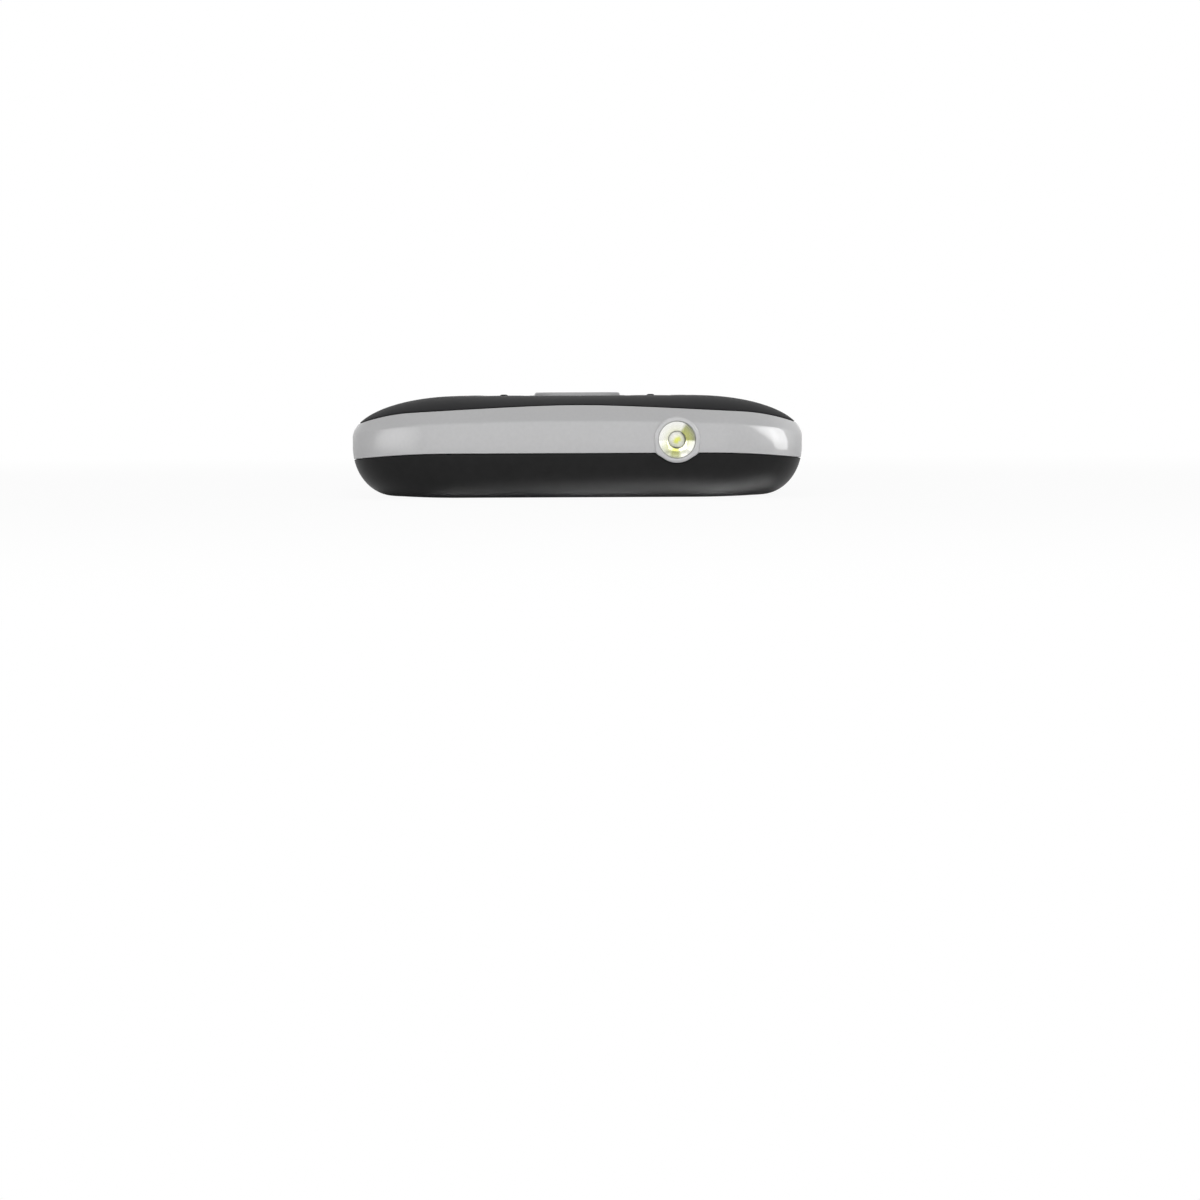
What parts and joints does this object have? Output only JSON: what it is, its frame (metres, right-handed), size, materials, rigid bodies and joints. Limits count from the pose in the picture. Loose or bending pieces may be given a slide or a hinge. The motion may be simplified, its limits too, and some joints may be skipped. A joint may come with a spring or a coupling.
{
  "type": "feature phone",
  "caption": "Bar-shaped mobile phone with a bowed dark front, a silver side frame, a removable black rear cover, a number pad, a rocker pad and a torch in its top end.",
  "frame": {"origin": "on the back face, under the middle of the phone", "axes": "+X to the right of the screen, +Y towards the torch end, +Z out of the screen"},
  "size_m": [0.05, 0.1143, 0.0117],
  "materials": {
    "front_grey": "dark grey plastic with a satin finish",
    "silver": "silver paint on plastic, satin",
    "rear_black": "black plastic, glossy",
    "window": "smoked clear acrylic, polished",
    "key_dark": "dark grey plastic, semi-gloss",
    "silver_key": "silver paint on plastic, satin",
    "clear": "clear plastic, polished",
    "reflector": "bright plated plastic",
    "phosphor": "yellow phosphor under a clear dome",
    "inner_plastic": "black moulding, matt",
    "foam": "black foam",
    "panel": "display glass in a metal frame",
    "flex": "amber film",
    "mesh": "dark fine mesh",
    "speaker_metal": "pressed metal",
    "board": "green board with a solder mask",
    "tin": "tinned sheet metal",
    "dome_film": "film with metal domes",
    "silicone": "grey silicone",
    "cell": "wrapped cell",
    "contact": "gilt contacts",
    "weight": "sintered metal",
    "carrier": "natural plastic",
    "rubber": "soft rubber",
    "screw": "plain steel"
  },
  "bodies": {
    "phone": {"front_cover": "front_grey", "side_frame": "silver", "chassis": "inner_plastic", "display_lens": "window", "display_gasket": "foam", "display_module": "panel", "display_flex": "flex", "earpiece_mesh": "mesh", "earpiece_speaker": "speaker_metal", "torch_lens": "clear", "torch_reflector": "reflector", "torch_led": "phosphor", "torch_board": "board", "main_board": "board", "shield_can": "tin", "dome_sheet": "dome_film", "keypad_mat": "silicone", "battery": "cell", "battery_contacts": "contact", "sim_holder": "tin", "loudspeaker": "speaker_metal", "speaker_gasket": "foam", "vibration_motor": "tin", "antenna_carrier": "carrier", "usb_socket": "tin", "usb_tongue": "inner_plastic", "microphone": "contact", "mic_boot": "rubber", "housing_screws": "screw"},
    "key_1": {"key_1": "key_dark"},
    "key_2": {"key_2": "key_dark"},
    "key_3": {"key_3": "key_dark"},
    "key_4": {"key_4": "key_dark"},
    "key_5": {"key_5": "key_dark"},
    "key_6": {"key_6": "key_dark"},
    "key_7": {"key_7": "key_dark"},
    "key_8": {"key_8": "key_dark"},
    "key_9": {"key_9": "key_dark"},
    "key_star": {"key_star": "key_dark"},
    "key_0": {"key_0": "key_dark"},
    "key_hash": {"key_hash": "key_dark"},
    "soft_key_left": {"soft_key_left": "key_dark"},
    "soft_key_right": {"soft_key_right": "key_dark"},
    "call_key": {"call_key": "key_dark"},
    "end_key": {"end_key": "key_dark"},
    "select_key": {"select_key": "silver_key"},
    "nav_plate": {"nav_plate": "inner_plastic"},
    "nav_ring": {"nav_ring": "key_dark"},
    "rear_cover": {"rear_cover": "rear_black"},
    "vibration_weight": {"vibration_weight": "weight"}
  },
  "joints": [
    {"name": "select_key_press", "type": "slide", "parent": "phone", "child": "select_key", "axis": [0, 0, -1], "range_m": [0, 0.0003], "stiffness_N_per_m": 4000, "deforming": ["keypad_mat"]},
    {"name": "soft_key_left_press", "type": "slide", "parent": "phone", "child": "soft_key_left", "axis": [0, 0, -1], "range_m": [0, 0.0003], "stiffness_N_per_m": 4000, "deforming": ["keypad_mat"]},
    {"name": "soft_key_right_press", "type": "slide", "parent": "phone", "child": "soft_key_right", "axis": [0, 0, -1], "range_m": [0, 0.0003], "stiffness_N_per_m": 4000, "deforming": ["keypad_mat"]},
    {"name": "call_key_press", "type": "slide", "parent": "phone", "child": "call_key", "axis": [0, 0, -1], "range_m": [0, 0.0003], "stiffness_N_per_m": 4000, "deforming": ["keypad_mat"]},
    {"name": "end_key_press", "type": "slide", "parent": "phone", "child": "end_key", "axis": [0, 0, -1], "range_m": [0, 0.0003], "stiffness_N_per_m": 4000, "deforming": ["keypad_mat"]},
    {"name": "key_1_press", "type": "slide", "parent": "phone", "child": "key_1", "axis": [0, 0, -1], "range_m": [0, 0.0003], "stiffness_N_per_m": 4000, "deforming": ["keypad_mat"]},
    {"name": "key_2_press", "type": "slide", "parent": "phone", "child": "key_2", "axis": [0, 0, -1], "range_m": [0, 0.0003], "stiffness_N_per_m": 4000, "deforming": ["keypad_mat"]},
    {"name": "key_3_press", "type": "slide", "parent": "phone", "child": "key_3", "axis": [0, 0, -1], "range_m": [0, 0.0003], "stiffness_N_per_m": 4000, "deforming": ["keypad_mat"]},
    {"name": "key_4_press", "type": "slide", "parent": "phone", "child": "key_4", "axis": [0, 0, -1], "range_m": [0, 0.0003], "stiffness_N_per_m": 4000, "deforming": ["keypad_mat"]},
    {"name": "key_5_press", "type": "slide", "parent": "phone", "child": "key_5", "axis": [0, 0, -1], "range_m": [0, 0.0003], "stiffness_N_per_m": 4000, "deforming": ["keypad_mat"]},
    {"name": "key_6_press", "type": "slide", "parent": "phone", "child": "key_6", "axis": [0, 0, -1], "range_m": [0, 0.0003], "stiffness_N_per_m": 4000, "deforming": ["keypad_mat"]},
    {"name": "key_7_press", "type": "slide", "parent": "phone", "child": "key_7", "axis": [0, 0, -1], "range_m": [0, 0.0003], "stiffness_N_per_m": 4000, "deforming": ["keypad_mat"]},
    {"name": "key_8_press", "type": "slide", "parent": "phone", "child": "key_8", "axis": [0, 0, -1], "range_m": [0, 0.0003], "stiffness_N_per_m": 4000, "deforming": ["keypad_mat"]},
    {"name": "key_9_press", "type": "slide", "parent": "phone", "child": "key_9", "axis": [0, 0, -1], "range_m": [0, 0.0003], "stiffness_N_per_m": 4000, "deforming": ["keypad_mat"]},
    {"name": "key_star_press", "type": "slide", "parent": "phone", "child": "key_star", "axis": [0, 0, -1], "range_m": [0, 0.0003], "stiffness_N_per_m": 4000, "deforming": ["keypad_mat"]},
    {"name": "key_0_press", "type": "slide", "parent": "phone", "child": "key_0", "axis": [0, 0, -1], "range_m": [0, 0.0003], "stiffness_N_per_m": 4000, "deforming": ["keypad_mat"]},
    {"name": "key_hash_press", "type": "slide", "parent": "phone", "child": "key_hash", "axis": [0, 0, -1], "range_m": [0, 0.0003], "stiffness_N_per_m": 4000, "deforming": ["keypad_mat"]},
    {"name": "nav_left_right", "type": "hinge", "parent": "phone", "child": "nav_plate", "pos_m": [0, -0.0089, 0.00837], "axis": [0, 1, 0], "range_deg": [-1.5, 1.5], "stiffness_Nm_per_rad": 0.4, "deforming": ["keypad_mat"]},
    {"name": "nav_up_down", "type": "hinge", "parent": "nav_plate", "child": "nav_ring", "pos_m": [0, -0.0089, 0.00874], "axis": [1, 0, 0], "range_deg": [-1.5, 1.5], "stiffness_Nm_per_rad": 0.4},
    {"name": "rear_cover_lift_off", "type": "slide", "parent": "rear_cover", "child": "phone", "axis": [0, 0, 1], "range_m": [0, 0.014]},
    {"name": "vibration_spin", "type": "hinge", "parent": "phone", "child": "vibration_weight", "pos_m": [-0.0075, 0.029, 0.00322], "axis": [1, 0, 0], "continuous": true}
  ]
}
